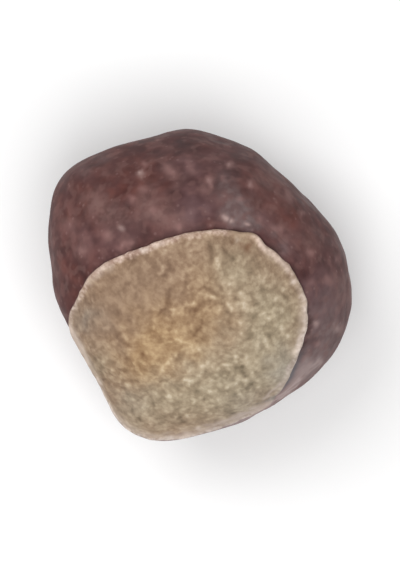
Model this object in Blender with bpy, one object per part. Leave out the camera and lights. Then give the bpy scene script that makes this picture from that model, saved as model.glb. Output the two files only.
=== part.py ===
"""A dried horse chestnut seed, lying as it was photographed: on its flattened cheek, with its big pale
scar turned up and a little towards -Y. Metres, +Z up, origin under the middle of the seed on the surface.

The seed is one solid. Its surface is drawn as rings round the scar's axis, from the middle of the scar,
out to the scar's outline, over the rim, and round the back, so that the rim is crisp with few faces.
"""

import math

import bmesh
import bpy
from mathutils import Vector, noise

MM = 0.001

# The seed's plain form: a ball pressed flat along the scar's axis
HALF_WIDTH = 17.5 * MM
HALF_THICKNESS = 15.4 * MM

# Bearings are seen from above, anticlockwise from +X, and rises are above the horizon, all in degrees.
# The scar faces up, leaning over towards this bearing.
SCAR_BEARING = 252
SCAR_RISE = 59

# Where the seed departs from the plain form: bearing, rise, height in metres, and spread in degrees
SWELLINGS = {
    "upper left shoulder": (140, 2, 3.2 * MM, 24),
    "top": (95, 0, 1.4 * MM, 17),
    "foot of the scar": (246, -4, 2.4 * MM, 19),
    "pressed upper right side": (47, 4, -1.3 * MM, 28),
    "hollow under the scar's left side": (211, -18, -2.9 * MM, 24),
    "pressed lower right side": (305, -5, -1.2 * MM, 25),
    "flatter face of the scar": (252, 59, -0.9 * MM, 34),
    "cheek pressed by its twin": (250, -72, -1.5 * MM, 40),
}

# How far the scar reaches from its middle, in degrees at the seed's centre, every 15 degrees
# anticlockwise from the right, seen along the scar's axis
SCAR_REACH = (
    55.2, 58.2, 58.9, 58.2, 57.4, 53.8,
    50.4, 48.2, 48.3, 50.2, 51.8, 54.5,
    59, 62, 62.5, 60.5, 59, 57,
    55.6, 55.6, 55.8, 54.2, 51.6, 51.6,
)

# The scar stands a little proud of the skin. Its rim is raised, just inside its outline, and a crease
# runs just outside it.
STEP_HEIGHT = 0.12 * MM
STEP_WIDTH = 0.15 * MM
RIM_HEIGHT = 0.28 * MM
RIM_WIDTH = 0.38 * MM
RIM_INSET = 0.34 * MM
CREASE_DEPTH = 0.22 * MM
CREASE_WIDTH = 0.35 * MM
CREASE_OFFSET = 0.35 * MM

# The root of the embryo shows as a low ridge, from the scar's upper edge over the seed's back. Its ends
# are bearings and rises. Counted from its middle, it keeps its height over RIDGE_FULL of its half length,
# and it stays clear of the rim.
RIDGE_START = (74, 62)
RIDGE_END = (68, -38)
RIDGE_HEIGHT = 0.45 * MM
RIDGE_WIDTH = 2.6 * MM
RIDGE_FULL = 0.6
RIDGE_FADE = 0.3
RIDGE_CLEARANCE = 2 * MM

# Shallow hollows that the skin dries into, with their span as an angle at the centre
HOLLOW_SPAN = math.radians(14)
HOLLOW_DEPTH = 0.28 * MM

# The flat spot that the seed rests on
SEAT_DEPTH = 0.5 * MM

# The mesh: turns round the scar's axis, rings over the scar and the back, and rings at the rim, each at
# its distance past the scar's outline
SEGMENTS = 84
SCAR_RINGS = 11
BACK_RINGS = 24
RIM_RINGS = (-1.3 * MM, -0.75 * MM, -0.35 * MM, 0.0, 0.22 * MM, 0.6 * MM, 1.2 * MM)
OUTLINE_RING = SCAR_RINGS + RIM_RINGS.index(0.0)

# The skin is dark red brown, and the scar is pale tan and rougher
COAT_COLOUR = (0.105, 0.036, 0.028, 1)
COAT_ROUGHNESS = 0.5
SCAR_COLOUR = (0.42, 0.3, 0.19, 1)
SCAR_ROUGHNESS = 0.85
COAT_SLOT = 0
SCAR_SLOT = 1


def towards(bearing, rise):
    """The unit vector at a bearing and a rise, both in degrees."""
    bearing, rise = math.radians(bearing), math.radians(rise)
    return Vector((
        math.cos(rise) * math.cos(bearing),
        math.cos(rise) * math.sin(bearing),
        math.sin(rise),
    ))


SCAR_AXIS = towards(SCAR_BEARING, SCAR_RISE)
SCAR_RIGHT = Vector((0, 1, 0)).cross(SCAR_AXIS).normalized()
SCAR_UP = SCAR_AXIS.cross(SCAR_RIGHT)


def bell(distance, width):
    """1 at no distance, falling smoothly to nothing past about two widths."""
    return math.exp(-((distance / width) ** 2))


def scar_reach(turn):
    """The angle from the scar's middle to its outline, in radians, on a smooth closed curve through SCAR_REACH."""
    count = len(SCAR_REACH)
    place = (turn / math.tau) % 1 * count
    before = int(place)
    share = place - before
    a, b, c, d = (SCAR_REACH[(before + k) % count] for k in (-1, 0, 1, 2))
    curve = b + share * (c - a + share * (2 * a - 5 * b + 4 * c - d + share * (3 * b - a + d - 3 * c))) / 2
    return math.radians(curve)


def plain_form(direction):
    """The distance from the centre to the seed's smooth outer form."""
    along = direction.dot(SCAR_AXIS) ** 2
    distance = 1 / math.sqrt(along / HALF_THICKNESS**2 + (1 - along) / HALF_WIDTH**2)
    for bearing, rise, height, reach in SWELLINGS.values():
        distance += height * bell(direction.angle(towards(bearing, rise)), math.radians(reach))
    return distance


def rim_relief(outside):
    """The scar's step, rim and crease. Outside is the distance past the scar's outline, negative on the scar."""
    step = STEP_HEIGHT / (1 + math.exp(outside / STEP_WIDTH))
    rim = RIM_HEIGHT * bell(outside + RIM_INSET, RIM_WIDTH)
    crease = CREASE_DEPTH * bell(outside - CREASE_OFFSET, CREASE_WIDTH)
    return step + rim - crease


def ridge_relief(direction, outside):
    """The low ridge over the embryo's root: a great-circle welt that fades at both ends and at the rim."""
    start, end = towards(*RIDGE_START), towards(*RIDGE_END)
    across = HALF_WIDTH * math.asin(direction.dot(start.cross(end).normalized()))
    from_middle = direction.angle(start + end) / (start.angle(end) / 2)
    fade = bell(max(from_middle - RIDGE_FULL, 0), RIDGE_FADE)
    clear_of_rim = 1 - bell(max(outside, 0), RIDGE_CLEARANCE)
    return RIDGE_HEIGHT * bell(across, RIDGE_WIDTH) * fade * clear_of_rim


def hollow_relief(direction):
    """Broad uneven hollows in the dried skin."""
    return HOLLOW_DEPTH * noise.noise(direction / HOLLOW_SPAN)


def surface_point(turn, angle):
    """A point of the seed's surface, at a turn round the scar's axis and an angle from it."""
    flat = SCAR_RIGHT * math.cos(turn) + SCAR_UP * math.sin(turn)
    direction = SCAR_AXIS * math.cos(angle) + flat * math.sin(angle)
    distance = plain_form(direction)
    outside = (angle - scar_reach(turn)) * distance
    distance += rim_relief(outside) + ridge_relief(direction, outside) + hollow_relief(direction)
    return direction * distance


def ring_angles(turn):
    """The angles from the scar's axis at which this turn crosses each ring, poles left out."""
    reach = scar_reach(turn)
    first = reach + RIM_RINGS[0] / HALF_WIDTH
    last = reach + RIM_RINGS[-1] / HALF_WIDTH
    on_scar = [first * (k + 1) / (SCAR_RINGS + 1) for k in range(SCAR_RINGS)]
    at_rim = [reach + offset / HALF_WIDTH for offset in RIM_RINGS]
    on_back = [last + (math.pi - last) * (k + 1) / (BACK_RINGS + 1) for k in range(BACK_RINGS)]
    return on_scar + at_rim + on_back


def middle_of(values):
    return (min(values) + max(values)) / 2


def stand_on_seat(shape):
    """Presses the lowest of the shape flat, and puts that seat at Z 0 with the box's middle over the origin."""
    seat = min(vert.co.z for vert in shape.verts) + SEAT_DEPTH
    for vert in shape.verts:
        vert.co.z = max(vert.co.z, seat)
    middle_x = middle_of([vert.co.x for vert in shape.verts])
    middle_y = middle_of([vert.co.y for vert in shape.verts])
    bmesh.ops.translate(shape, verts=shape.verts, vec=(-middle_x, -middle_y, -seat))


def seed_mesh():
    """The closed mesh of the seed."""
    shape = bmesh.new()
    turns = [math.tau * k / SEGMENTS for k in range(SEGMENTS)]
    columns = [[shape.verts.new(surface_point(turn, angle)) for angle in ring_angles(turn)] for turn in turns]
    scar_middle = shape.verts.new(surface_point(0, 0))
    back_middle = shape.verts.new(surface_point(0, math.pi))
    for here, after in zip(columns, columns[1:] + columns[:1]):
        shape.faces.new((scar_middle, here[0], after[0])).material_index = SCAR_SLOT
        shape.faces.new((back_middle, after[-1], here[-1])).material_index = COAT_SLOT
        for k in range(len(here) - 1):
            face = shape.faces.new((here[k], here[k + 1], after[k + 1], after[k]))
            face.material_index = SCAR_SLOT if k < OUTLINE_RING else COAT_SLOT
    stand_on_seat(shape)
    mesh = bpy.data.meshes.new("nut")
    shape.to_mesh(mesh)
    shape.free()
    mesh.shade_smooth()
    return mesh


def plain_material(name, colour, roughness):
    material = bpy.data.materials.new(name)
    material.use_nodes = True
    shader = material.node_tree.nodes["Principled BSDF"]
    shader.inputs["Base Color"].default_value = colour
    shader.inputs["Roughness"].default_value = roughness
    shader.inputs["Metallic"].default_value = 0
    return material


def main():
    for old in list(bpy.data.objects):
        bpy.data.objects.remove(old)
    nut = bpy.data.objects.new("nut", seed_mesh())
    nut.data.materials.append(plain_material("seed_coat", COAT_COLOUR, COAT_ROUGHNESS))
    nut.data.materials.append(plain_material("scar", SCAR_COLOUR, SCAR_ROUGHNESS))
    bpy.context.scene.collection.objects.link(nut)


main()
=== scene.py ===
"""The looks of a dried horse chestnut seed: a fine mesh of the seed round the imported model, in metres.

The surface is drawn as rings round the scar's axis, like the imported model's, with finer relief. Each point
also carries masks, such as how dusty the skin is there, which the two materials read.
"""

import math

import bpy
import numpy as np
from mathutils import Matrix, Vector, noise


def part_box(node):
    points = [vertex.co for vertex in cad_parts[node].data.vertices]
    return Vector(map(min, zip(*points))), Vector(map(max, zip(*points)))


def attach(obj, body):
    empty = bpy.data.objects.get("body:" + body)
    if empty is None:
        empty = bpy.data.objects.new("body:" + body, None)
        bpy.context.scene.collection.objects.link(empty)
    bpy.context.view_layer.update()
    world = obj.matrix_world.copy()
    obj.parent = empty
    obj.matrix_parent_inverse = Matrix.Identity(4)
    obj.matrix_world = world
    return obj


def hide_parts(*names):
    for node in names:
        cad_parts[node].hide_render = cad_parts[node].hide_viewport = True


MM = 0.001

# The seed's form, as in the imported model. Bearings are seen from above, anticlockwise from +X, and rises
# are above the horizon, all in degrees.
HALF_WIDTH = 17.5 * MM
HALF_THICKNESS = 15.4 * MM
SCAR_BEARING = 252
SCAR_RISE = 59
SEAT_DEPTH = 0.5 * MM

# Where the seed departs from a pressed ball: bearing, rise, height in metres, and spread in degrees
SWELLINGS = {
    "upper left shoulder": (140, 2, 3.2 * MM, 24),
    "top": (95, 0, 1.4 * MM, 17),
    "foot of the scar": (246, -4, 2.4 * MM, 19),
    "pressed upper right side": (47, 4, -1.3 * MM, 28),
    "hollow under the scar's left side": (211, -18, -2.9 * MM, 24),
    "pressed lower right side": (305, -5, -1.2 * MM, 25),
    "flatter face of the scar": (252, 59, -0.9 * MM, 34),
    "cheek pressed by its twin": (250, -72, -1.5 * MM, 40),
}

# How far the scar reaches from its middle, in degrees at the seed's centre, every 15 degrees
# anticlockwise from the right, seen along the scar's axis
SCAR_REACH = np.array((
    55.2, 58.2, 58.9, 58.2, 57.4, 53.8,
    50.4, 48.2, 48.3, 50.2, 51.8, 54.5,
    59, 62, 62.5, 60.5, 59, 57,
    55.6, 55.6, 55.8, 54.2, 51.6, 51.6,
))

# Its outline is ragged, and juts out in two corners at the upper right: turn, spread and reach, in degrees
CORNERS = ((53.5, 4, 1.8), (32.5, 2.2, 0.7))
RAGGED_DEPTH = 0.16 * MM
RAGGED_SPAN = math.radians(5)

# The scar's step, its raised rim and the crease outside it. Rim and crease vary along the outline, in broad
# swells and small notches.
STEP_HEIGHT = 0.12 * MM
STEP_WIDTH = 0.15 * MM
RIM_HEIGHT = 0.22 * MM
RIM_WIDTH = 0.34 * MM
RIM_INSET = 0.34 * MM
CREASE_DEPTH = 0.12 * MM
CREASE_WIDTH = 0.3 * MM
CREASE_OFFSET = 0.3 * MM
SWELL_SPAN = math.radians(20)
SWELL_SHARE = 0.5
NOTCH_SPAN = math.radians(3.5)
NOTCH_SHARE = 0.3

# At its lower right a fold runs along the crease, leaves the outline and ends inside the rim. It deepens over
# the first third of its length and fades over the last quarter. Below it, the skin meets the rim with no
# crease.
FOLD_START = math.radians(350)
FOLD_END = math.radians(306)
FOLD_NEAR = 0.5 * MM
FOLD_FAR = -2.4 * MM
FOLD_WIDTH = 0.42 * MM
FOLD_DEPTH = 0.12 * MM
FOLD_BEND = 5
FOLD_OPENING = 3
FOLD_CLOSING = 4
FILLED_TURN = math.radians(290)
FILLED_SPREAD = math.radians(17)

# The ridge over the embryo's root, from the scar's upper edge over the back. Its ends are bearings and rises.
# Counted from its middle, it keeps its height over RIDGE_FULL of its half length.
RIDGE_START = (74, 62)
RIDGE_END = (68, -38)
RIDGE_HEIGHT = 0.45 * MM
RIDGE_WIDTH = 2.6 * MM
RIDGE_FULL = 0.6
RIDGE_FADE = 0.3
RIDGE_CLEARANCE = 2 * MM

# Broad hollows and small dents of dried skin. Spans are angles at the centre.
HOLLOW_SPAN = math.radians(14)
HOLLOW_DEPTH = 0.28 * MM
DENT_SPAN = math.radians(5)
DENT_DEPTH = 0.045 * MM

# The scar's short fibres: light and dark strokes that turn round a swirl and run out from it. The swirl is
# given by its distances right and up across the scar from the scar's axis.
SWIRL_CENTRE = (3.1 * MM, 4.1 * MM)
SWIRL_TURN = math.radians(80)
SWIRL_REACH = 4 * MM
STROKE_BEND = 1.8
BEND_SPAN = 2.6 * MM
STROKE_WIDTH = 0.6 * MM
STROKE_STEP = 0.4 * MM
STROKE_STEPS = 1
STROKE_CONTRAST = 1.3
STROKE_HEIGHT = 0.07 * MM
CRUMB_SPAN = 0.9 * MM
CRUMB_HEIGHT = 0.05 * MM

# Fine wrinkles of the skin that run beside the rim at its upper right
WRINKLE_TURN = math.radians(38)
WRINKLE_SPREAD = math.radians(24)
WRINKLE_SPAN = 0.75 * MM
WRINKLE_OFFSET = 1.3 * MM
WRINKLE_WIDTH = 0.8 * MM
WRINKLE_HEIGHT = 0.04 * MM

# What is drawn as it is seen from above fades out between two heights on the seed's sides, with a ragged edge
FADE_LOW = 10 * MM
FADE_HIGH = 13.5 * MM
FADE_WANDER = 2

# Patches of colour: where each is, in millimetres from the seed's middle, how far it reaches and how strong
# it is. Their edges wander. Warm, pale, smooth and grey are the scar's own colours, and pale also paints
# light on its lower part. Light is painted light on its rim, cool is a colour of the rim, and shade is how
# dark the painted shade in the crease is. The others lie on the skin: bloom is partly painted soft highlight,
# dust is partly painted sheen at the edges, and red is partly darkened as painted shade.
WANDER_SPAN = math.radians(6)
WANDER = 0.9 * MM
PATCHES = {
    "warm": (
        (-4.0, -6.4, 4.0, 1.0), (1.3, -3.2, 2.8, 0.55), (-7.0, -9.6, 3.0, 0.7), (0.5, 1.0, 2.0, 0.3),
        (-0.2, -7.2, 2.0, 0.4),
    ),
    # Pale scar colour to the right, and painted light on the lower part, which turns away from the lamps
    "pale_and_painted_light": (
        (8.2, -3.4, 4.2, 1.0), (3.9, 1.8, 3.0, 0.7), (2.5, -12.0, 5.0, 1.0), (8.0, -9.0, 3.4, 0.8),
        (-3.0, -13.0, 3.0, 0.5), (-7.0, -14.5, 3.2, 0.7), (-11.8, -9.2, 2.0, 0.6),
    ),
    "smooth": (
        (-8.4, -1.6, 3.4, 1.0), (-10.5, -5.0, 2.6, 0.7), (-5.0, 0.8, 2.6, 0.6),
    ),
    "grey": (
        (10.4, -10.4, 2.4, 1.0), (9.0, -8.4, 2.0, 0.25), (-13.2, -4.0, 1.8, 0.6),
        (-8.0, -13.6, 2.4, 0.3), (5.5, -14.5, 3.0, 0.5),
    ),
    # Painted light on the rim: where it lies, the rim is pinker and wider
    "light": (
        (-14.6, -2.8, 1.6, 0.6), (-13.4, -0.4, 1.6, 0.6), (-11.6, 1.7, 2.0, 0.8), (-8.6, 3.3, 2.2, 1.0),
        (-5.6, 4.6, 1.8, 1.0), (-2.5, 5.5, 1.8, 0.9), (0.5, 6.0, 1.5, 0.6), (2.4, 6.2, 1.0, 0.8),
        (6.9, 5.0, 1.1, 0.8), (8.6, 3.5, 1.4, 0.7), (10.2, 1.6, 1.4, 0.6), (11.9, -2.5, 1.6, 0.7),
        (11.6, -5.8, 1.6, 1.0), (10.6, -8.2, 1.6, 0.8), (-13.9, -6.2, 2.0, 0.7),
        (-12.4, -9.6, 1.8, 0.8), (-9.0, -15.5, 3.0, 0.9), (-5.0, -17.2, 3.0, 1.0),
        (0.0, -17.0, 3.0, 0.9), (4.5, -15.3, 2.5, 0.9), (-11.2, -12.6, 2.0, 0.8),
    ),
    "cool": (
        (-14.6, -6.0, 2.0, 0.8), (-12.6, -10.0, 2.5, 0.9), (-10.8, -14.0, 2.5, 1.0),
        (-7.0, -16.8, 3.0, 1.0), (-2.0, -17.3, 3.0, 1.0), (3.0, -16.2, 3.0, 1.0),
        (8.0, -13.6, 3.0, 1.0), (11.5, -8.5, 3.0, 0.9), (12.2, -4.0, 2.5, 0.8), (11.4, 0.0, 2.0, 0.5),
        (-14.2, -2.4, 1.6, 0.4),
    ),
    # Painted shade: how dark the crease outside the rim is painted, place by place
    "shade": (
        (-6.2, 5.0, 2.2, 0.8), (1.0, 6.8, 1.6, 0.5), (3.8, 6.4, 0.7, 1.0), (8.6, 4.3, 2.0, 0.8),
        (11.2, 1.4, 1.8, 0.6), (12.7, -4.8, 2.4, 1.0), (12.0, -7.2, 1.5, 1.0), (-13.4, 1.0, 1.6, 0.4),
    ),
    # Dust, and painted sheen where these patches lie along the seed's outline
    "dust_and_sheen": (
        (3.0, 11.2, 1.5, 0.7), (4.2, 9.4, 1.3, 0.9), (5.0, 7.8, 1.3, 1.0), (3.4, 7.8, 1.2, 0.7),
        (14.6, -5.8, 2.6, 0.8), (14.0, -8.2, 1.8, 0.8), (6.2, 6.8, 0.9, 0.7), (8.2, 6.4, 0.8, 0.5),
        (12.6, -9.0, 1.2, 1.0), (11.4, -10.6, 1.0, 1.0), (14.4, -2.2, 2.2, 0.4), (9.6, 4.4, 1.2, 0.5),
        (-16.2, 12.4, 1.0, 0.5), (-13.8, 13.9, 1.0, 0.5), (-11.6, 15.1, 1.0, 0.4),
        (5.4, 15.2, 0.9, 0.5), (7.4, 14.0, 0.8, 0.6), (8.6, 13.0, 0.8, 0.4), (15.4, 5.4, 0.9, 0.7),
        (16.4, 3.6, 0.8, 0.5),
    ),
    # Dusty bloom, partly painted soft highlight above the scar and along the right edge
    "bloom_and_highlight": (
        (-11.6, 8.9, 1.7, 0.8), (-9.6, 7.8, 1.3, 0.6), (-7.0, 8.1, 1.3, 0.6), (-5.3, 8.5, 1.2, 0.9),
        (-3.6, 7.3, 1.3, 0.7), (-2.2, 6.7, 1.0, 0.7), (-8.2, 4.9, 0.8, 0.6), (-10.7, 5.8, 0.7, 0.7),
        (-6.2, 10.9, 1.5, 0.5), (-15.0, 7.0, 1.1, 0.4), (-13.6, 4.0, 1.1, 0.4), (-12.4, 10.1, 1.3, 0.4),
        (-3.6, 13.2, 0.8, 0.6), (-2.9, 11.4, 0.7, 0.5), (-10.5, 13.0, 1.0, 0.3), (0.5, 11.0, 0.7, 0.5),
        (9.4, 6.4, 1.0, 0.5), (12.4, 5.0, 1.6, 0.6), (16.3, 0.6, 1.3, 0.6), (10.2, 10.3, 0.9, 0.5),
        (7.6, 12.2, 1.3, 0.6), (6.6, 9.2, 1.3, 0.5), (15.8, -4.9, 0.8, 0.7), (8.9, 9.0, 1.2, 0.4),
        (16.9, -1.6, 1.2, 0.6), (-1.8, 12.4, 0.8, 0.4), (-3.8, 9.4, 0.9, 0.5),
    ),
    "lilac": (
        (-1.2, 9.6, 1.8, 0.8), (-1.4, 13.4, 1.7, 0.8), (-0.8, 7.6, 1.5, 0.7), (0.8, 9.0, 1.5, 0.6),
        (9.6, 4.6, 1.6, 0.6), (7.2, 7.6, 0.9, 0.6), (13.4, -0.4, 2.6, 1.0), (14.2, -3.4, 2.4, 1.0),
        (12.9, -7.8, 1.5, 0.8), (2.2, 13.8, 1.8, 0.4), (-12.6, 5.2, 2.0, 0.4), (-9.0, 5.4, 1.8, 0.5),
    ),
    # Redder skin, also darkened as painted shade for the upper left
    "red": (
        (-10.6, 11.8, 3.2, 1.0), (-15.4, 2.2, 3.0, 1.0), (-14.2, 8.6, 2.6, 1.0), (-4.8, 11.8, 2.2, 0.7),
        (6.8, 12.6, 2.2, 0.7), (9.4, 10.0, 2.6, 0.9), (10.4, 7.6, 2.2, 0.7), (13.0, 4.2, 2.0, 0.8),
        (-14.5, -1.0, 2.0, 1.0), (1.0, 15.6, 2.4, 0.6), (17.0, -1.0, 1.6, 0.6), (-7.0, 14.6, 2.4, 0.7),
    ),
}
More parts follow.
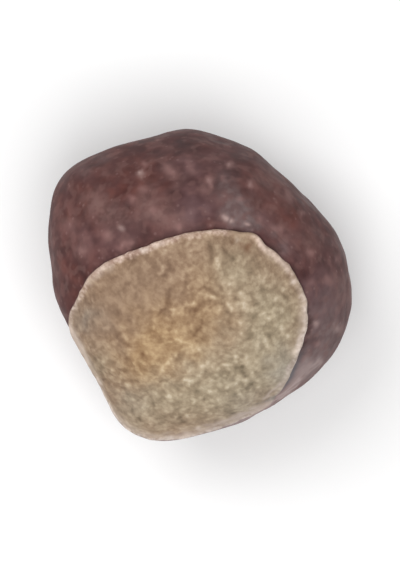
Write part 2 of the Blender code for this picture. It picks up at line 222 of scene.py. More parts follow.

# Marks: half their width, how strong they are, and the X and Y of each place that they run through, with the
# lengths in millimetres. Their edges jitter a little. Dark and cream marks are strokes of the scar, spots are
# brown, gleams are painted highlights along its rim, scurf is pale dust at its lower right edge together with
# painted bounce light there, and dots and specks of dust lie on the skin.
JITTER = 0.3
MARKS = {
    "dark": (
        (0.3, 0.8, 1.1, 4.6, 1.3, 3.6, 1.2, 2.5), (0.25, 0.8, 2.6, 4.5, 3.2, 3.5, 3.9, 3.0),
        (0.6, 0.6, 6.4, 3.2, 6.8, 2.6, 7.2, 3.1), (0.3, 0.6, 5.4, 1.5), (0.25, 0.6, 3.6, 5.2, 3.5, 4.9),
        (0.28, 1.0, 0.1, -0.5, 0.6, -0.3, 1.3, -0.7, 2.1, -1.3),
        (0.25, 0.7, 1.7, 0.4, 2.1, -0.1, 2.5, -0.4),
        (0.25, 0.8, 1.3, -2.5, 2.2, -2.2, 2.8, -2.3, 3.0, -2.9, 3.7, -3.7), (0.3, 0.7, 4.2, -1.6),
        (0.3, 0.7, 5.8, -0.8, 6.1, -1.5, 6.4, -2.2), (0.3, 0.7, 4.6, -3.2), (0.3, 0.7, 6.4, -3.3),
        (0.25, 0.7, 7.6, -3.2, 8.1, -3.3), (0.3, 0.9, 8.7, -0.3, 9.3, -0.9, 9.8, -1.3),
        (0.3, 0.6, 10.6, -0.3, 11.2, -0.8), (0.25, 0.5, 10.1, -2.5, 10.6, -3.0),
        (0.3, 0.8, 8.0, -5.7, 8.2, -6.4), (0.35, 0.7, -1.6, -2.8, -0.2, -2.8, 0.6, -2.0, 1.1, -1.9),
        (0.3, 0.6, -0.7, -3.5, -1.5, -4.4), (0.35, 0.9, 0.3, -3.8, 0.0, -4.9, -0.7, -5.7),
        (0.3, 0.6, 0.6, -6.0, -0.3, -6.5), (0.25, 0.6, 9.4, -6.1, 9.4, -7.0),
        (0.25, 0.5, 10.4, -6.3, 10.8, -7.0), (0.35, 0.5, 8.0, -4.6),
        (0.3, 0.8, -3.5, 2.5, -3.4, 1.8, -4.0, 1.0, -4.4, 0.2), (0.3, 0.6, -2.0, 2.5),
        (0.3, 0.6, -1.8, 0.6, -1.7, -0.3), (0.3, 0.9, -3.4, -0.5, -3.5, -1.6, -3.7, -2.5, -4.7, -3.5),
        (0.35, 0.8, -5.7, -3.1), (0.3, 0.7, -9.5, -3.2), (0.3, 0.8, -8.2, -3.9),
        (0.3, 0.9, -9.8, -5.2, -9.4, -6.0, -9.0, -6.5, -8.2, -7.1), (0.3, 0.8, -4.9, 3.7),
        (0.25, 0.6, -6.1, 3.4, -5.8, 3.0), (0.2, 0.6, -3.9, 4.3), (0.3, 0.6, -10.0, 0.8),
        (0.3, 0.5, -8.7, 0.3, -8.2, 0.2), (0.3, 0.5, -10.4, -0.5), (0.35, 0.5, -12.0, -0.4),
        (0.3, 0.6, -4.6, -6.0), (0.3, 0.6, -13.2, -1.6, -12.8, -2.1),
        (0.3, 0.7, -13.7, -3.0, -13.2, -4.0), (0.25, 0.6, -13.5, -5.4),
        (0.3, 0.6, -12.1, -3.2, -12.4, -4.4), (0.3, 0.7, -8.7, -8.1),
        (0.25, 0.9, -6.5, -8.0, -6.3, -8.4), (0.3, 0.8, -9.3, -9.8, -8.7, -9.9),
        (0.25, 0.7, -6.9, -9.5, -6.2, -9.9), (0.3, 1.0, -4.5, -10.9),
        (0.25, 0.7, -9.1, -11.6, -8.7, -11.1, -7.1, -11.2), (0.35, 0.9, -8.3, -12.3),
        (0.3, 0.7, -9.1, -13.2, -8.5, -13.3),
        (0.25, 0.8, -7.1, -13.4, -6.6, -12.9, -6.0, -12.5, -5.6, -13.0, -5.4, -13.9),
        (0.3, 0.6, -4.2, -13.3), (0.35, 0.7, -7.8, -14.4, -7.4, -15.1, -7.0, -15.7),
        (0.3, 0.6, -2.7, -13.4, -3.3, -13.6), (0.25, 0.6, -5.0, -15.4, -3.6, -15.3, -3.0, -14.9),
        (0.35, 1.0, -2.2, -15.5), (0.3, 1.0, -0.4, -12.2), (0.25, 0.6, -0.1, -11.0),
        (0.3, 0.6, -0.5, -9.4), (0.25, 0.5, 0.5, -13.2, 1.1, -12.8), (0.3, 0.6, -2.0, -7.8, -2.6, -8.5),
        (0.3, 0.6, -11.7, -10.0, -11.1, -11.0), (0.3, 0.6, -11.4, -7.3),
        (0.3, 0.8, 5.0, -9.3, 4.3, -9.7), (0.25, 0.9, 4.9, -10.1, 5.4, -10.6),
        (0.3, 1.0, 5.4, -12.0, 5.9, -11.5), (0.28, 1.0, 4.1, -12.6), (0.25, 0.6, 3.7, -10.8),
        (0.35, 0.6, 6.4, -8.3), (0.3, 0.6, 7.3, -9.6, 8.0, -9.3), (0.25, 0.6, 7.2, -6.9),
        (0.3, 1.0, 3.6, -14.8, 4.0, -14.8), (0.3, 0.5, 3.3, -14.0), (0.3, 0.6, 1.7, -15.7),
    ),
    "cream": (
        (0.28, 0.65, 1.9, 3.0, 2.2, 1.9), (0.25, 0.6, 1.8, 4.5, 1.9, 4.1), (0.3, 0.4, 0.3, 4.6),
        (0.3, 0.6, 0.8, 0.6), (0.3, 0.6, 2.6, 0.7, 2.6, 0.2), (0.3, 0.4, 3.4, 0.0),
        (0.28, 1.0, 4.7, -0.9), (0.4, 0.9, 5.1, -2.3, 5.4, -2.4), (0.35, 0.5, 3.4, -1.2),
        (0.3, 0.5, 0.6, -1.0, -0.3, -1.1, -0.3, -1.6), (0.25, 0.4, 1.3, -1.4, 2.0, -1.8),
        (0.3, 0.8, 2.4, -2.6, 2.1, -3.1), (0.25, 0.7, 3.4, -2.4, 3.5, -2.9), (0.28, 0.9, 9.5, -0.4),
        (0.28, 0.7, 10.2, -2.0), (0.35, 1.0, 9.4, -4.9, 9.6, -5.4), (0.25, 0.7, 10.0, -5.7, 10.3, -6.3),
        (0.3, 0.7, 8.0, -3.9), (0.25, 0.7, 7.2, -3.2), (0.28, 0.5, 9.3, -2.8), (0.28, 0.8, 4.7, -4.3),
        (0.28, 0.8, 4.8, -5.6), (0.25, 0.5, 7.2, -5.6, 7.6, -7.0), (0.3, 0.5, 6.6, -1.4, 7.0, -1.6),
        (0.3, 0.8, -4.2, 1.9, -4.6, 1.3), (0.4, 0.4, -1.0, 3.4), (0.3, 0.5, -7.3, 1.1, -7.3, 0.2),
        (0.3, 0.5, -8.4, 1.0), (0.25, 0.5, -6.2, 0.8), (0.25, 0.6, -3.6, 0.5), (0.3, 0.5, -4.2, -0.8),
        (0.3, 0.8, -3.1, -2.9), (0.28, 0.7, -2.3, -3.3, -1.6, -2.4, -0.9, -1.9), (0.3, 0.4, -3.5, -4.2),
        (0.35, 0.9, -7.2, -5.7), (0.25, 0.7, -2.3, -6.4), (0.8, 0.8, -1.1, -7.4, 1.0, -6.9),
        (0.4, 0.6, 0.5, -6.7), (0.25, 0.5, -12.9, -5.1), (0.3, 0.5, -6.5, 2.6), (0.25, 0.7, -2.7, -8.1),
        (0.3, 0.4, -3.3, -8.6, -4.2, -9.5, -4.3, -10.2), (0.3, 0.5, -5.4, -8.9), (0.3, 0.6, -6.6, -9.1),
        (0.3, 0.6, -6.8, -10.5), (0.35, 1.0, -1.9, -10.9, -1.0, -11.0),
        (0.35, 1.0, 1.5, -9.1, 1.5, -9.5), (0.3, 0.6, 0.3, -9.3), (0.3, 0.9, -4.2, -11.6),
        (0.35, 0.7, -3.6, -12.8), (0.25, 0.7, -2.7, -12.6), (0.3, 0.8, -8.3, -11.6),
        (0.3, 0.5, -7.3, -11.7), (0.3, 0.6, -6.3, -13.3), (0.3, 0.6, -1.5, -15.1),
        (0.22, 0.6, -2.8, -15.4), (0.35, 0.7, 2.7, -9.2, 3.3, -9.3), (0.28, 0.7, 4.0, -8.1, 4.2, -8.9),
        (0.3, 0.9, 5.2, -8.3), (0.3, 0.8, 6.0, -10.3), (0.28, 0.6, 7.2, -10.4), (0.3, 0.7, 8.8, -9.4),
        (0.28, 0.7, 7.6, -8.6, 8.3, -8.3), (0.22, 0.6, 4.5, -10.7, 4.1, -11.6),
        (0.2, 0.6, 5.0, -11.1, 5.5, -11.0), (0.25, 0.5, 2.1, -11.5), (0.25, 0.5, 3.0, -13.5),
    ),
    "spot": (
        (0.5, 0.8, 5.7, 4.6, 5.4, 4.2), (0.45, 0.6, 5.0, 4.4), (0.25, 0.4, 3.8, 5.2, 3.7, 4.9),
    ),
    # Painted highlights: bright lines where the rim's edge catches the light
    "painted_highlight": (
        (0.36, 0.9, 10.75, 0.4), (0.34, 0.6, 11.5, -6.1, 11.25, -6.9, 10.9, -7.9),
        (0.26, 0.9, -11.9, -10.9, -11.6, -11.4),
        (0.5, 0.4, 11.9, -1.2, 12.1, -3.0, 11.9, -4.6, 11.6, -5.8),
        (0.45, 0.35, 7.2, 4.5, 8.1, 3.6, 9.1, 2.9, 10.0, 1.9),
        (0.4, 0.25, -12.9, 0.2, -11.6, 1.4, -10.3, 2.1),
        (0.35, 0.75, -15.2, -4.8, -14.7, -5.6, -14.1, -6.7, -13.6, -7.7, -12.9, -9.2),
        (0.3, 0.3, 4.4, 5.0),
        (0.4, 0.4, -12.9, -9.2, -11.9, -10.9, -11.4, -12.3, -10.7, -14.0, -9.6, -15.4, -8.0, -16.8,
         -5.6, -17.6, -3.0, -17.8, -0.4, -17.4),
        (0.22, 0.7, -6.6, 3.9, -5.9, 4.0), (0.22, 0.4, -5.2, 4.4, -4.4, 4.75), (0.3, 0.5, -0.1, -16.7),
    ),
    # Pale dust at the scar's lower right edge, with painted bounce light along that edge
    "scurf_and_bounce_light": (
        (0.45, 0.6, 13.7, -8.8, 12.7, -9.7, 11.5, -10.9),
        (0.35, 0.85, 11.5, -10.9, 10.4, -12.1, 9.4, -12.9, 8.3, -13.6, 7.0, -14.2, 5.6, -14.8, 4.2, -15.4),
        (0.45, 0.7, 4.2, -15.4, 2.4, -16.1, 0.6, -16.7), (0.5, 0.4, 0.6, -16.7, -1.4, -17.3, -3.4, -17.7),
        (0.4, 0.6, 7.8, -14.5, 6.0, -15.3, 4.5, -15.9, 3.0, -16.5), (0.8, 0.4, 3.0, -16.5, -2.0, -17.6),
        (0.9, 0.55, 12.6, -9.4, 11.6, -10.3, 10.7, -11.3, 9.6, -12.6),
        (0.25, 0.7, 9.3, -11.5, 8.3, -12.3, 7.4, -13.1), (0.2, 0.5, 10.3, -9.3, 10.1, -9.9),
    ),
    "dot": (
        (0.3, 0.7, -6.4, 13.9), (0.5, 0.9, -7.8, 9.9), (0.35, 0.9, 1.1, 12.3, 1.2, 11.5),
        (0.45, 1.0, 3.5, 13.75), (0.35, 0.9, 5.7, 11.9, 5.95, 11.2), (0.4, 0.8, 4.6, 9.9),
        (0.45, 1.0, 12.9, 3.6), (0.35, 0.8, 11.9, 8.3), (0.4, 0.7, 8.2, 6.7, 9.3, 6.4),
        (0.55, 0.9, -10.7, 5.8), (0.35, 0.7, 15.8, 2.9), (0.35, 0.7, 13.6, -6.8), (0.4, 0.6, 2.7, 12.3),
        (0.5, 0.7, -8.0, 4.8), (0.5, 0.7, -13.6, 4.0), (0.45, 0.8, -3.8, 13.5, -3.2, 12.9),
        (0.5, 0.6, -6.5, 11.0), (0.5, 0.8, -2.3, 6.6), (0.5, 0.8, -5.3, 8.5),
        (0.35, 0.6, 10.0, 10.7, 10.3, 10.1), (0.5, 0.6, -1.4, 14.2, -1.0, 13.2), (0.5, 0.6, 0.4, 10.9),
        (0.4, 0.6, 6.9, 7.6), (0.5, 0.6, 14.8, 0.7), (0.5, 0.5, 12.8, 0.3), (0.7, 0.5, -15.2, 7.0),
        (0.4, 0.6, -9.3, 4.3, -8.5, 4.6),
    ),
    "speck": (
        (0.34, 1.0, 3.0, 7.65), (0.3, 0.9, 3.65, 7.3), (0.26, 0.8, 5.5, 6.9), (0.34, 0.9, -6.85, 12.85),
        (0.2, 0.5, -6.6, 13.35), (0.3, 0.6, -9.0, 6.5), (0.34, 0.6, 13.35, -4.4),
        (0.24, 0.5, 5.8, 11.5), (0.3, 0.4, 15.8, -5.0), (0.25, 0.3, 3.5, 13.75),
        (0.25, 0.3, 1.15, 11.9),
    ),
}

# Colours from darkest to lightest, as stops along a tone from 0 to 1, each as it looks on a screen from 0 to
# 255. Each patch's colours come after how far they cover the plain one.
SCAR_PLAIN = ((0.1, (104, 80, 64)), (0.4, (137, 112, 91)), (0.6, (161, 137, 114)), (0.9, (201, 181, 158)))
SCAR_TONES = {
    "smooth": (0.6, (0.1, (98, 76, 61)), (0.9, (170, 143, 119))),
    "warm": (
        0.8, (0.1, (118, 86, 58)), (0.4, (152, 122, 88)), (0.6, (178, 149, 111)), (0.9, (213, 191, 152)),
    ),
    # The pale tone, also used as painted light on the scar's lower part
    "pale_and_painted_light": (
        0.85, (0.1, (109, 98, 79)), (0.4, (149, 135, 112)), (0.6, (176, 162, 138)), (0.9, (212, 202, 181)),
    ),
    "grey": (0.7, (0.1, (110, 105, 97)), (0.9, (181, 174, 162))),
}
RIM_PINK = ((0.25, (160, 132, 120)), (0.75, (222, 200, 186)))
RIM_COOL = ((0.25, (152, 141, 134)), (0.75, (214, 203, 196)))
COAT_PLAIN = ((0.34, (59, 31, 30)), (0.5, (74, 41, 39)), (0.66, (98, 61, 57)))
COAT_TONES = {
    # The red tone is also darkened as painted shade for the upper left
    "red": (0.85, (0.34, (62, 26, 23)), (0.66, (98, 53, 46))),
    "lilac": (0.8, (0.34, (76, 49, 51)), (0.66, (110, 84, 85))),
}

# The mesh: turns round the axis, and rings over the scar, at the rim and over the back
SEGMENTS = 360
SCAR_RINGS = 104
RIM_RINGS = 40
BACK_RINGS = 124
RIM_START = -1.4 * MM
RIM_END = 2.6 * MM
OUTLINE_RING = SCAR_RINGS + round(RIM_RINGS * RIM_START / (RIM_START - RIM_END))
COAT_SLOT = 0
SCAR_SLOT = 1

# The camera looks straight down, as in the photograph, from far above. The view has this width at the height
# of the seed's middle.
CAMERA_HEIGHT = 1.2
VIEW_WIDTH = 0.0465
SENSOR_WIDTH = 0.036

# The studio: a pale floor, and large soft lights aimed at the seed, each with its place, size and power
FLOOR_WIDTH = 3.0
FLOOR_COLOUR = (0.9, 0.9, 0.9, 1)
LIGHT_AIM = (0, 0, 15 * MM)
LIGHTS = {
    "key": ((-0.3, 0.25, 0.6), 0.45, 2.2),
    "top": ((0.05, -0.22, 0.8), 0.5, 3.2),
    "fill": ((0.45, -0.4, 0.35), 0.4, 0.8),
    "low left": ((-0.42, -0.42, 0.25), 0.4, 0.6),
}
WORLD_COLOUR = (1.0, 1.0, 1.0, 1)
WORLD_STRENGTH = 0.4


def towards(bearing, rise):
    """The unit vector at a bearing and a rise, both in degrees."""
    bearing, rise = math.radians(bearing), math.radians(rise)
    return np.array((
        math.cos(rise) * math.cos(bearing),
        math.cos(rise) * math.sin(bearing),
        math.sin(rise),
    ))


def unit(vector):
    return vector / np.linalg.norm(vector, axis=-1, keepdims=True)


SCAR_AXIS = towards(SCAR_BEARING, SCAR_RISE)
SCAR_RIGHT = unit(np.cross((0, 1, 0), SCAR_AXIS))
SCAR_UP = np.cross(SCAR_AXIS, SCAR_RIGHT)


def bell(distance, width):
    """1 at no distance, falling smoothly to nothing past about two widths."""
    return np.exp(-((distance / width) ** 2))


def angle_to(directions, direction):
    """The angle from each of the directions to one direction."""
    return np.arccos(np.clip(directions @ unit(direction), -1, 1))


def lumps(points, span):
    """Smooth noise from -1 to 1 at each point, with lumps about as wide as the span."""
    values = [noise.noise(Vector(point)) for point in (points / span).reshape(-1, 3)]
    return np.array(values).reshape(points.shape[:-1])


def on_circle(turn):
    """The turns as points of a circle of radius 1, on which noise has no seam."""
    return np.stack((np.cos(turn), np.sin(turn), 0 * turn), axis=-1)


def scar_reach(turn):
    """The angle from the scar's middle to its outline, on a smooth closed curve through SCAR_REACH."""
    count = len(SCAR_REACH)
    place = (turn / math.tau) % 1 * count
    before = place.astype(int)
    share = place - before
    a, b, c, d = (SCAR_REACH[(before + k) % count] for k in (-1, 0, 1, 2))
    curve = b + share * (c - a + share * (2 * a - 5 * b + 4 * c - d + share * (3 * b - a + d - 3 * c))) / 2
    for corner, spread, out in CORNERS:
        curve = curve + out * bell(np.degrees(turn) - corner, spread)
    return np.radians(curve) + RAGGED_DEPTH / HALF_WIDTH * lumps(on_circle(turn), RAGGED_SPAN)


def plain_form(directions):
    """The distance from the centre to the seed's smooth outer form."""
    along = (directions @ SCAR_AXIS) ** 2
    distance = 1 / np.sqrt(along / HALF_THICKNESS**2 + (1 - along) / HALF_WIDTH**2)
    for bearing, rise, height, reach in SWELLINGS.values():
        distance += height * bell(angle_to(directions, towards(bearing, rise)), math.radians(reach))
    return distance


def filled(turn):
    """From 0 to 1, how far the crease is filled at each turn."""
    return bell(turn - FILLED_TURN, FILLED_SPREAD)


def rim_relief(outside, turn):
    """The scar's step, rim and crease, uneven along the outline. Outside is the distance past the outline."""
    outline = on_circle(turn)
    uneven = 1 + SWELL_SHARE * lumps(outline, SWELL_SPAN) + NOTCH_SHARE * lumps(outline, NOTCH_SPAN)
    step = STEP_HEIGHT / (1 + np.exp(outside / STEP_WIDTH))
    rim = RIM_HEIGHT * bell(outside + RIM_INSET, RIM_WIDTH)
    crease = CREASE_DEPTH * bell(outside - CREASE_OFFSET, CREASE_WIDTH) * (1 - filled(turn))
    return step + (rim - crease) * uneven


def ridge_relief(directions, outside):
    """The low ridge over the embryo's root: a great-circle welt that fades at both ends and at the rim."""
    start, end = towards(*RIDGE_START), towards(*RIDGE_END)
    across = HALF_WIDTH * np.arcsin(directions @ unit(np.cross(start, end)))
    half_length = math.acos(start @ end) / 2
    from_middle = angle_to(directions, start + end) / half_length
    fade = bell(np.maximum(from_middle - RIDGE_FULL, 0), RIDGE_FADE)
    clear_of_rim = 1 - bell(np.maximum(outside, 0), RIDGE_CLEARANCE)
    return RIDGE_HEIGHT * bell(across, RIDGE_WIDTH) * fade * clear_of_rim


def fold(outside, turn):
    """From 0 to 1, how deep in the rim's fold each point lies."""
    share = (FOLD_START - turn) / (FOLD_START - FOLD_END)
    line = FOLD_NEAR + (FOLD_FAR - FOLD_NEAR) * np.clip(share, 0, 1) ** FOLD_BEND
    ends = np.clip(FOLD_OPENING * share, 0, 1) * np.clip(FOLD_CLOSING * (1 - share), 0, 1)
    return bell(outside - line, FOLD_WIDTH) * ends


def wrinkle_relief(directions, outside, turn):
    """Low wrinkles beside the rim, which wander a little and fade out."""
    phase = math.tau * (outside / WRINKLE_SPAN + lumps(directions, DENT_SPAN))
    place = bell(turn - WRINKLE_TURN, WRINKLE_SPREAD) * bell(outside - WRINKLE_OFFSET, WRINKLE_WIDTH)
    return WRINKLE_HEIGHT * np.sin(phase) * place


def fibre_heading(points):
    """Which way the scar's fibres run at each point, as an angle anticlockwise from the scar's right."""
    right = points @ SCAR_RIGHT - SWIRL_CENTRE[0]
    up = points @ SCAR_UP - SWIRL_CENTRE[1]
    swirl = SWIRL_TURN * bell(np.hypot(right, up), SWIRL_REACH)
    return np.arctan2(up, right) + swirl + STROKE_BEND * lumps(points, BEND_SPAN)


def scar_strokes(points, heading):
    """From 0 to 1, short strokes along the fibres: noise averaged along them."""
    along = np.cos(heading)[..., None] * SCAR_RIGHT + np.sin(heading)[..., None] * SCAR_UP
    total = sum(
        lumps(points + k * STROKE_STEP * along, STROKE_WIDTH)
        for k in range(-STROKE_STEPS, STROKE_STEPS + 1)
    )
    return 1 / (1 + np.exp(-STROKE_CONTRAST * total / total.std()))


def seen_from_above(points, wander):
    """From 0, low on the seed's sides, to 1, high enough to show what is drawn from above."""
    height = points[..., 2] + FADE_WANDER * wander
    return np.clip((height - FADE_LOW) / (FADE_HIGH - FADE_LOW), 0, 1)


def patches(points, spots, wander):
    """From 0 to 1, how much of the spots' colour is at each point."""
    x, y = points[..., 0] + wander, points[..., 1] - wander
    share = sum(
        strength * bell(np.hypot(x - spot_x * MM, y - spot_y * MM), reach * MM)
        for spot_x, spot_y, reach, strength in spots
    )
    return np.clip(share, 0, 1)


def distance_to_line(x, y, places):
    """How far each point is, seen from above, from a line of places, or from a single one."""
    xs, ys = places[::2], places[1::2]
    nearest = np.hypot(x - xs[0], y - ys[0])
    for x1, y1, x2, y2 in zip(xs, ys, xs[1:], ys[1:]):
        run, rise = x2 - x1, y2 - y1
        share = np.clip(((x - x1) * run + (y - y1) * rise) / (run**2 + rise**2), 0, 1)
        nearest = np.minimum(nearest, np.hypot(x - x1 - share * run, y - y1 - share * rise))
    return nearest


def strokes_seen(points, lines, jitter):
    """From 0 to 1, how much of the lines' colour is at each point. Jitter moves it, in millimetres."""
    x, y = points[..., 0] / MM + jitter, points[..., 1] / MM - jitter
    share = 0 * x
    for width, strength, *places in lines:
        share = np.maximum(share, strength * bell(distance_to_line(x, y, places), width))
    return share


def ring_angles(turn):
    """For each turn, the angles from the scar's axis at which it crosses each ring, poles left out."""
    reach = scar_reach(turn)[:, None]
    first = reach + RIM_START / HALF_WIDTH
    last = reach + RIM_END / HALF_WIDTH
    on_scar = first * (np.arange(SCAR_RINGS) + 1) / (SCAR_RINGS + 1)
    at_rim = reach + np.linspace(RIM_START, RIM_END, RIM_RINGS + 1) / HALF_WIDTH
    on_back = last + (math.pi - last) * (np.arange(BACK_RINGS) + 1) / (BACK_RINGS + 1)
    return np.concatenate((on_scar, at_rim, on_back), axis=1)


def resting(points):
    """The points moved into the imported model's box, with the lowest of them pressed flat as its seat."""
    low, high = (np.array(corner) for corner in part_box("nut"))
    z = points[..., 2]
    points[..., 2] = np.maximum(z, z.min() + SEAT_DEPTH)
    spread = points.reshape(-1, 3)
    middle = (spread.min(axis=0) + spread.max(axis=0)) / 2
    shift = (low + high) / 2 - middle
    shift[2] = low[2] - spread[:, 2].min()
    return points + shift


def surface(turn, angle):
    """The seed's fine surface at each turn and angle: its points, and the fields that the materials read."""
    flat = np.cos(turn)[..., None] * SCAR_RIGHT + np.sin(turn)[..., None] * SCAR_UP
    directions = np.cos(angle)[..., None] * SCAR_AXIS + np.sin(angle)[..., None] * flat
    distance = plain_form(directions)
    smooth_points = directions * distance[..., None]
    outside = (angle - scar_reach(turn)) * distance
    heading = fibre_heading(smooth_points)
    strokes = scar_strokes(smooth_points, heading)
    on_scar = 1 / (1 + np.exp((outside + RIM_INSET) / STEP_WIDTH))
    distance = distance + rim_relief(outside, turn) + ridge_relief(directions, outside)
    distance += HOLLOW_DEPTH * lumps(directions, HOLLOW_SPAN) + DENT_DEPTH * lumps(directions, DENT_SPAN)
    distance += wrinkle_relief(directions, outside, turn) - FOLD_DEPTH * fold(outside, turn)
    crumbs = lumps(smooth_points, CRUMB_SPAN)
    distance += (STROKE_HEIGHT * (strokes - 0.5) + CRUMB_HEIGHT * crumbs) * on_scar
    points = resting(directions * distance[..., None])
    wander = WANDER * lumps(directions, WANDER_SPAN)
    seen = seen_from_above(points, wander)
    fields = {name: seen * patches(points, spots, wander) for name, spots in PATCHES.items()}
    for name, lines in MARKS.items():
        fields[name] = seen * strokes_seen(points, lines, JITTER * crumbs)
    fields["fold"] = fold(outside, turn)
    fields["filled"] = filled(turn)
    fields["strokes"] = strokes
    fields["outside"] = outside / MM
    fields["place"] = smooth_points @ np.stack((SCAR_RIGHT, SCAR_UP, SCAR_AXIS), axis=-1) / MM
    # A fibre runs both ways, so its heading is doubled before it is kept as a point of a circle
    fields["fibres"] = on_circle(2 * heading)
    return points, fields


def seed_faces(rings):
    """The mesh's faces as point numbers, and which of them lie on the scar."""
    here = np.arange(SEGMENTS)[:, None] * rings + np.arange(rings - 1)
    after = (here + rings) % (SEGMENTS * rings)
    quads = np.stack((here, here + 1, after + 1, after), axis=-1)
    quads_on_scar = np.broadcast_to(np.arange(rings - 1) < OUTLINE_RING, here.shape)
    first, first_after = here[:, 0], after[:, 0]
    scar_pole = np.full(SEGMENTS, SEGMENTS * rings)
    scar_fan = np.stack((scar_pole, first, first_after), axis=-1)
    back_fan = np.stack((scar_pole + 1, first_after + rings - 1, first + rings - 1), axis=-1)
    faces = quads.reshape(-1, 4).tolist() + scar_fan.tolist() + back_fan.tolist()
    on_scar = np.concatenate((quads_on_scar.ravel(), np.ones(SEGMENTS), np.zeros(SEGMENTS)))
    return faces, on_scar.astype(bool)


def add_field(mesh, name, values):
    """Stores a number or a vector for each point of the mesh."""
    if values.ndim == 1:
        mesh.attributes.new(name, "FLOAT", "POINT").data.foreach_set("value", values.astype(np.float32))
    else:
        vectors = mesh.attributes.new(name, "FLOAT_VECTOR", "POINT")
        vectors.data.foreach_set("vector", values.astype(np.float32).ravel())


def seed_surface():
    """The seed's outside as one closed mesh."""
    turn = math.tau * np.arange(SEGMENTS) / SEGMENTS
    angle = ring_angles(turn)
    rings = angle.shape[1]
    turns = np.append(np.repeat(turn, rings), (0, 0))
    angles = np.append(angle.ravel(), (0, math.pi))
    points, fields = surface(turns, angles)
    faces, on_scar = seed_faces(rings)
    mesh = bpy.data.meshes.new("nut_surface")
    mesh.from_pydata(points.tolist(), [], faces)
    mesh.polygons.foreach_set("material_index", np.where(on_scar, SCAR_SLOT, COAT_SLOT).astype(np.int32))
    for name, values in fields.items():
        add_field(mesh, name, values)
    mesh.shade_smooth()
    return mesh


def rgb(red, green, blue):
    """A colour given from 0 to 255 as it looks on a screen, as the linear colour that a shader takes."""
    parts = [value / 255 for value in (red, green, blue)]
    return [part / 12.92 if part <= 0.04045 else ((part + 0.055) / 1.055) ** 2.4 for part in parts] + [1]


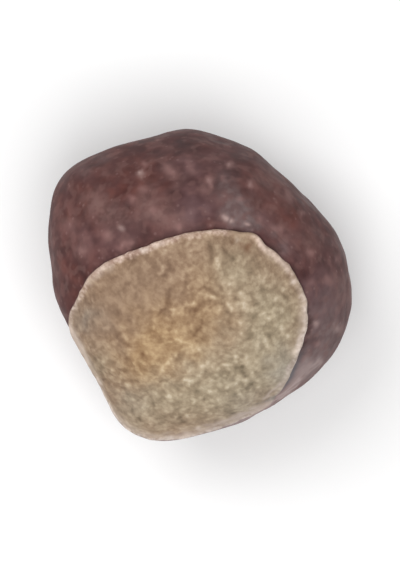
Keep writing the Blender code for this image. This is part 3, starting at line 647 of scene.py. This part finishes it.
class Recipe:
    """A material under construction. Each method adds a node and gives its output."""

    def __init__(self, name):
        self.material = bpy.data.materials.new(name)
        self.material.use_nodes = True
        self.tree = self.material.node_tree
        self.shader = self.tree.nodes["Principled BSDF"]

    def put(self, value, socket):
        """Sets a socket to a value, or links it to another node's output."""
        if isinstance(value, bpy.types.NodeSocket):
            self.tree.links.new(value, socket)
        else:
            socket.default_value = value

    def node(self, kind, inputs, **settings):
        made = self.tree.nodes.new(kind)
        for name, value in settings.items():
            setattr(made, name, value)
        for key, value in inputs.items():
            self.put(value, made.inputs[key])
        return made

    def finish(self, **inputs):
        """Sets the shader's own sockets, with _ for a space in their names."""
        for name, value in inputs.items():
            self.put(value, self.shader.inputs[name.replace("_", " ")])
        return self.material

    def field(self, name):
        """A number stored on the mesh."""
        return self.node("ShaderNodeAttribute", {}, attribute_name=name).outputs["Fac"]

    def vector_field(self, name):
        """A vector stored on the mesh."""
        return self.node("ShaderNodeAttribute", {}, attribute_name=name).outputs["Vector"]

    def math(self, operation, first, second=0.0):
        return self.node("ShaderNodeMath", {0: first, 1: second}, operation=operation).outputs[0]

    def plus(self, first, *others):
        for other in others:
            first = self.math("ADD", first, other)
        return first

    def times(self, first, *others):
        for other in others:
            first = self.math("MULTIPLY", first, other)
        return first

    def between(self, value, low, high, to_low=0.0, to_high=1.0):
        """The value's place between low and high, eased, from 0 to 1, or from to_low to to_high."""
        inputs = {"Value": value, "From Min": low, "From Max": high, "To Min": to_low, "To Max": to_high}
        return self.node("ShaderNodeMapRange", inputs, interpolation_type="SMOOTHSTEP").outputs["Result"]

    def centred(self, value):
        """A value about 0.5, moved to be about 0."""
        return self.plus(value, -0.5)

    def noise(self, span, detail=2.0, roughness=0.5, warp=0.0):
        """Noise about 0.5, with lumps about as wide as the span in millimetres."""
        inputs = {"Vector": self.vector_field("place"), "Scale": 1 / span, "Detail": detail,
                  "Roughness": roughness, "Distortion": warp}
        return self.node("ShaderNodeTexNoise", inputs).outputs["Fac"]

    def along(self, direction):
        """How far each place lies along a direction, in lengths of that vector."""
        inputs = {0: self.vector_field("place"), 1: direction}
        return self.node("ShaderNodeVectorMath", inputs, operation="DOT_PRODUCT").outputs["Value"]

    def fibres(self, width, length):
        """Noise about 0 in strokes along the scar's fibres: four straight grains, blended by heading."""
        blend = self.node("ShaderNodeSeparateXYZ", {0: self.vector_field("fibres")})
        total = 0.0
        for quarter, (output, sign) in enumerate(((0, 1), (1, 1), (0, -1), (1, -1))):
            heading = quarter * math.pi / 4
            along = (math.cos(heading) / length, math.sin(heading) / length, 0)
            across = (-math.sin(heading) / width, math.cos(heading) / width, 0)
            parts = {"X": self.along(along), "Y": self.along(across), "Z": self.along((0, 0, 1 / length))}
            where = self.node("ShaderNodeCombineXYZ", parts).outputs[0]
            grain = self.node("ShaderNodeTexNoise", {"Vector": where, "Scale": 1.0, "Detail": 1.5})
            weight = self.math("MAXIMUM", self.times(blend.outputs[output], sign), 0.0)
            total = self.plus(self.times(weight, self.centred(grain.outputs["Fac"])), total)
        return total

    def specks(self, span, size):
        """1 in round specks about a span apart, of a size given as a share of it, and 0 between them."""
        cells = self.node("ShaderNodeTexVoronoi", {"Vector": self.vector_field("place"), "Scale": 1 / span})
        return self.between(cells.outputs["Distance"], size, size / 3)

    def ramp(self, value, *stops):
        """A colour read along stops, each a value and a colour as it looks on a screen."""
        made = self.node("ShaderNodeValToRGB", {"Fac": value})
        elements = made.color_ramp.elements
        while len(elements) < len(stops):
            elements.new(1.0)
        for element, (position, colour) in zip(elements, stops):
            element.position = position
            element.color = rgb(*colour)
        return made.outputs["Color"]

    def mix(self, share, first, second):
        """The first colour, changed to the second by a share."""
        made = self.node("ShaderNodeMix", {0: share, 6: first, 7: second}, data_type="RGBA")
        return made.outputs[2]

    def tint(self, colour, name, share, over):
        """The colour, changed to another where the mesh's field of that name lies, by up to a share."""
        return self.mix(self.times(self.field(name), share), colour, over)

    def patched(self, tone, plain, tones):
        """The plain colour read by tone, with the other tones where their patches lie."""
        colour = self.ramp(tone, *plain)
        for name, (share, *stops) in tones.items():
            colour = self.tint(colour, name, share, self.ramp(tone, *stops))
        return colour

    def bump(self, height, depth, under=None):
        """Fine relief of a depth in millimetres, over other fine relief."""
        inputs = {"Height": height, "Distance": depth * MM, "Strength": 1.0}
        if under:
            inputs["Normal"] = under
        return self.node("ShaderNodeBump", inputs).outputs["Normal"]


def scar_tone(look, fine, crumb):
    """How light the scar is: its fibres, crumbs, grains and blotches, and the strokes drawn on it."""
    rough = look.between(look.field("smooth"), 0.0, 1.0, 1.0, 0.7)
    strokes = look.centred(look.field("strokes"))
    grains = look.plus(look.specks(0.85, 0.5), -0.35)
    mottle = look.plus(
        look.times(fine, 0.2), look.times(crumb, 0.35), look.times(strokes, 0.12), look.times(grains, 0.1)
    )
    blotch = look.centred(look.noise(1.5, warp=0.4))
    drawn = look.plus(look.times(look.field("cream"), 0.26), look.times(look.field("dark"), -0.24))
    return look.plus(look.times(mottle, rough), look.times(blotch, 0.6), drawn, 0.47)


def scar_rim(look, tone, crumb):
    """How far the rim's colour covers the scar, with a rough inner edge, and that colour, pinker and wider
    where light is painted on it.
    """
    # Painted light: the rim is pinker and wider where it is lit
    painted_rim_light = look.field("light")
    rim_tone = look.plus(tone, crumb)
    colour = look.mix(painted_rim_light, rgb(172, 148, 128), look.ramp(rim_tone, *RIM_PINK))
    colour = look.tint(colour, "cool", 0.9, look.ramp(rim_tone, *RIM_COOL))
    uneven = look.centred(look.noise(1.1, detail=3, roughness=0.6))
    inner_edge = look.plus(look.field("outside"), uneven, look.times(crumb, 0.5))
    share = look.times(look.between(inner_edge, -1.0, -0.35), look.plus(look.times(painted_rim_light, 0.55), 0.35))
    return share, colour


def scar_material():
    """Matt tan scar: light and dark strokes, warm in the middle, pale to the right, and a light rim, with
    painted light on the rim and lower part and painted highlights.
    """
    look = Recipe("scar")
    fine = look.fibres(0.5, 0.9)
    crumb = look.centred(look.noise(0.5))
    tone = scar_tone(look, fine, crumb)
    colour = look.patched(tone, SCAR_PLAIN, SCAR_TONES)
    rim_share, rim_colour = scar_rim(look, tone, crumb)
    colour = look.mix(rim_share, colour, rim_colour)
    # Pale dust and painted bounce light at the lower right edge
    colour = look.tint(colour, "scurf_and_bounce_light", 0.8, rgb(180, 164, 156))
    colour = look.tint(colour, "fold", 0.75, rgb(104, 103, 102))
    brown_edge = look.between(look.field("outside"), -0.16, 0.0, 0.0, 0.6)
    colour = look.mix(brown_edge, colour, rgb(132, 98, 84))
    colour = look.tint(colour, "spot", 0.9, rgb(104, 70, 50))
    # Painted highlights along the rim
    colour = look.tint(colour, "painted_highlight", 0.8, rgb(216, 200, 188))
    grain = look.bump(crumb, 0.12)
    return look.finish(
        Base_Color=colour, Roughness=0.9, Specular_IOR_Level=0.2, Normal=look.bump(fine, 0.07, grain)
    )


def crease(look):
    """How far the crease's painted shade covers the skin outside the rim, in dashes, wider in its shade, and
    its colour.
    """
    shade = look.field("shade")
    reach = look.plus(look.times(shade, 0.8), 0.8)
    near = look.between(look.field("outside"), reach, 0.0)
    dashes = look.between(look.noise(1.1), 0.4, 0.6, 0.15, 1.0)
    depth = look.plus(look.times(shade, 0.8), 0.15)
    still_open = look.plus(1.0, look.times(look.field("filled"), -1.0))
    colour = look.mix(look.field("grey"), rgb(60, 39, 35), rgb(100, 98, 102))
    return look.times(near, dashes, depth, still_open), colour


def coat_material():
    """Dull red-brown skin: soft mottling, redder and lilac patches, a dusty bloom partly painted as soft
    highlight, and light grains.
    """
    look = Recipe("seed_coat")
    patchy = look.noise(1.4, detail=1)
    tone = look.plus(look.times(look.noise(3.0), 0.5), look.times(patchy, 0.5))
    colour = look.patched(tone, COAT_PLAIN, COAT_TONES)
    haze = look.between(look.noise(2.0), 0.38, 0.62, 0.0, 0.25)
    colour = look.mix(haze, colour, rgb(99, 72, 72))
    powder = look.between(look.noise(0.8, detail=1), 0.35, 0.65, 0.6, 1.0)
    # Dusty bloom, partly painted soft highlight
    colour = look.mix(look.times(look.field("bloom_and_highlight"), powder, 0.7), colour, rgb(127, 97, 92))
    # Dust, partly painted sheen at the edges
    dust_and_sheen = look.times(look.field("dust_and_sheen"), powder)
    colour = look.mix(look.times(dust_and_sheen, 0.75), colour, rgb(118, 102, 101))
    mottles = look.between(look.noise(1.2, detail=1), 0.5, 0.68, 0.0, 0.3)
    colour = look.mix(mottles, colour, rgb(120, 87, 82))
    # Pale dust and painted bounce light at the lower right edge
    colour = look.tint(colour, "scurf_and_bounce_light", 0.85, rgb(176, 158, 154))
    grains = look.times(look.specks(0.9, 0.28), look.between(patchy, 0.48, 0.6))
    colour = look.mix(look.times(grains, 0.2), colour, rgb(150, 122, 118))
    colour = look.tint(colour, "dot", 0.6, rgb(150, 112, 108))
    colour = look.tint(colour, "speck", 0.8, rgb(178, 152, 146))
    # Painted shade in the crease outside the rim, in broken dashes
    painted_shade_share, painted_shade_colour = crease(look)
    colour = look.mix(painted_shade_share, colour, painted_shade_colour)
    colour = look.tint(colour, "fold", 0.85, rgb(98, 97, 101))
    skin = look.bump(patchy, 0.03)
    return look.finish(
        Base_Color=colour,
        Roughness=look.plus(look.between(haze, 0.0, 0.25, 0.58, 0.7), look.times(dust_and_sheen, 0.2)),
        Specular_IOR_Level=0.2,
        Sheen_Weight=0.03,
        Sheen_Roughness=0.25,
        Sheen_Tint=rgb(200, 186, 190),
        Normal=look.bump(look.noise(0.2), 0.008, skin),
    )


def dress_seed():
    nut = bpy.data.objects.new("nut_surface", seed_surface())
    bpy.context.scene.collection.objects.link(nut)
    nut.data.materials.append(coat_material())
    nut.data.materials.append(scar_material())
    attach(nut, "root")
    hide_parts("nut")


def make_floor():
    mesh = bpy.data.meshes.new("floor")
    half = FLOOR_WIDTH / 2
    corners = [(-half, -half, 0), (half, -half, 0), (half, half, 0), (-half, half, 0)]
    mesh.from_pydata(corners, [], [(0, 1, 2, 3)])
    floor = bpy.data.objects.new("floor", mesh)
    bpy.context.scene.collection.objects.link(floor)
    look = Recipe("floor")
    mesh.materials.append(look.finish(Base_Color=FLOOR_COLOUR, Roughness=0.9, Specular_IOR_Level=0.1))


def soft_light(name, place, size, power):
    """A square area light that faces the seed."""
    light = bpy.data.lights.new(name, "AREA")
    light.size = size
    light.energy = power
    lamp = bpy.data.objects.new(name, light)
    lamp.location = place
    lamp.rotation_euler = (Vector(LIGHT_AIM) - Vector(place)).to_track_quat("-Z", "Y").to_euler()
    bpy.context.scene.collection.objects.link(lamp)


def light_studio():
    for name, (place, size, power) in LIGHTS.items():
        soft_light(name, place, size, power)
    world = bpy.data.worlds.new("studio")
    world.use_nodes = True
    background = world.node_tree.nodes["Background"]
    background.inputs["Color"].default_value = WORLD_COLOUR
    background.inputs["Strength"].default_value = WORLD_STRENGTH
    bpy.context.scene.world = world
    bpy.context.scene.view_settings.view_transform = "Standard"


def place_camera():
    """Straight above the seed, with the photograph's up towards +Y."""
    low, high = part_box("nut")
    middle = (low + high) / 2
    camera = bpy.data.cameras.new("camera")
    camera.sensor_fit = "HORIZONTAL"
    camera.sensor_width = SENSOR_WIDTH / MM
    camera.lens = SENSOR_WIDTH / MM * (CAMERA_HEIGHT - middle.z) / VIEW_WIDTH
    eye = bpy.data.objects.new("camera", camera)
    eye.location = (middle.x, middle.y, CAMERA_HEIGHT)
    bpy.context.scene.collection.objects.link(eye)
    bpy.context.scene.camera = eye


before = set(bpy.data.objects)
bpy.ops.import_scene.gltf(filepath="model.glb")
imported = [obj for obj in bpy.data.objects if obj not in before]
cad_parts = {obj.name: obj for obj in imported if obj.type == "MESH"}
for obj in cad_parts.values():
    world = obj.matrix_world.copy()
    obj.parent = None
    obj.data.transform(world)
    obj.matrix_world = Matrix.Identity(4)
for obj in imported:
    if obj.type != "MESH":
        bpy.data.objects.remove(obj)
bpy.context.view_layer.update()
place_camera()
dress_seed()
make_floor()
light_studio()
